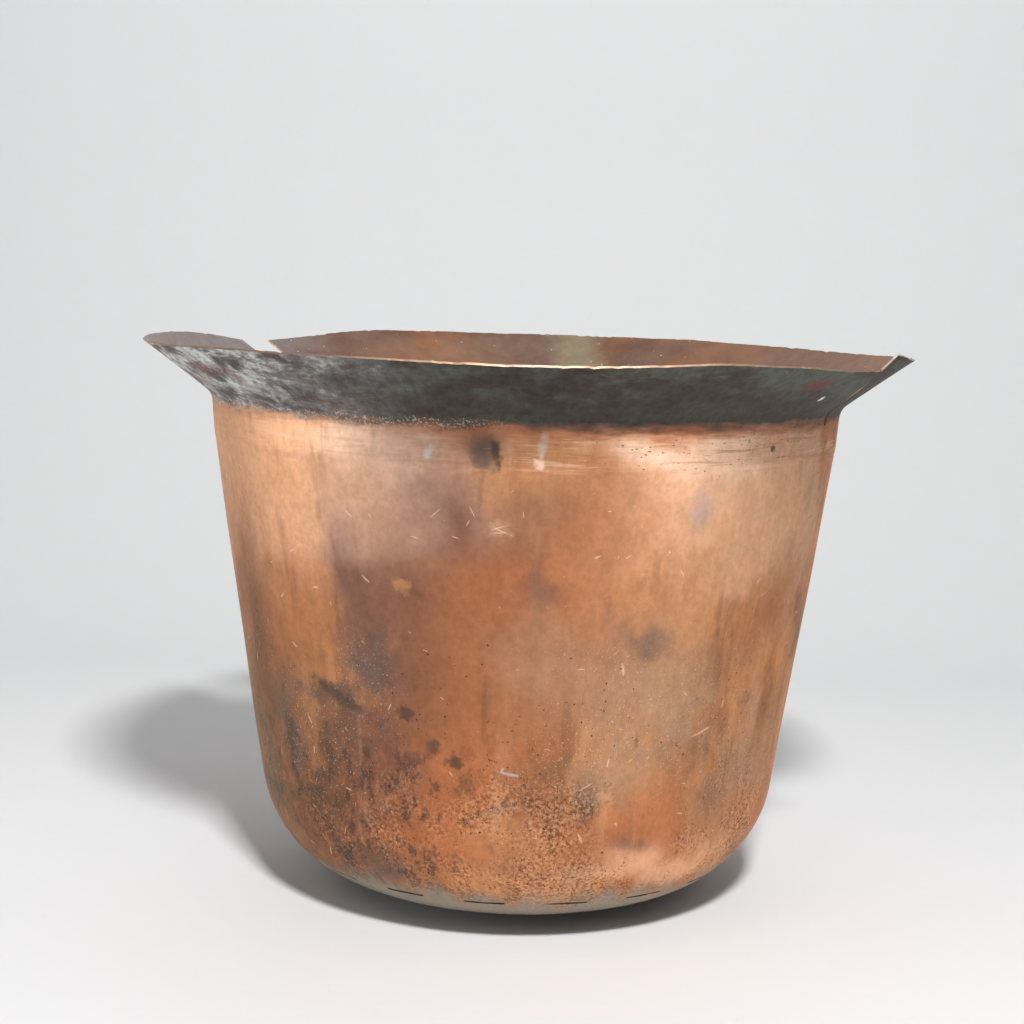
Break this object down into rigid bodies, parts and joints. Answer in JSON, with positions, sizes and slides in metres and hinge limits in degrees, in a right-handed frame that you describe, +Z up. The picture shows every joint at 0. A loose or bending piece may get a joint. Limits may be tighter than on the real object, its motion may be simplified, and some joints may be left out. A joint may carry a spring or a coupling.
{
  "type": "copper wash boiler",
  "caption": "Tapering round copper tub with an upright band, a flared flange split in two places, and a domed bottom held by a cramped, brazed seam.",
  "frame": {"origin": "middle of the flat that the tub stands on", "axes": "+Z up the tub's axis, -Y towards the front of the tub as pictured, +X to the viewer's right"},
  "size_m": [0.6198, 0.6233, 0.4518],
  "materials": {
    "side_copper": "worn, scratched copper with verdigris on the flange",
    "bottom_copper": "fire-darkened, pitted copper",
    "braze": "dull brass"
  },
  "bodies": {
    "root": {"front_side_sheet": "side_copper", "rear_side_sheet": "side_copper", "bottom_dish": "bottom_copper", "bottom_seam_braze": "braze", "right_seam_braze": "braze", "left_seam_braze": "braze"}
  },
  "joints": []
}
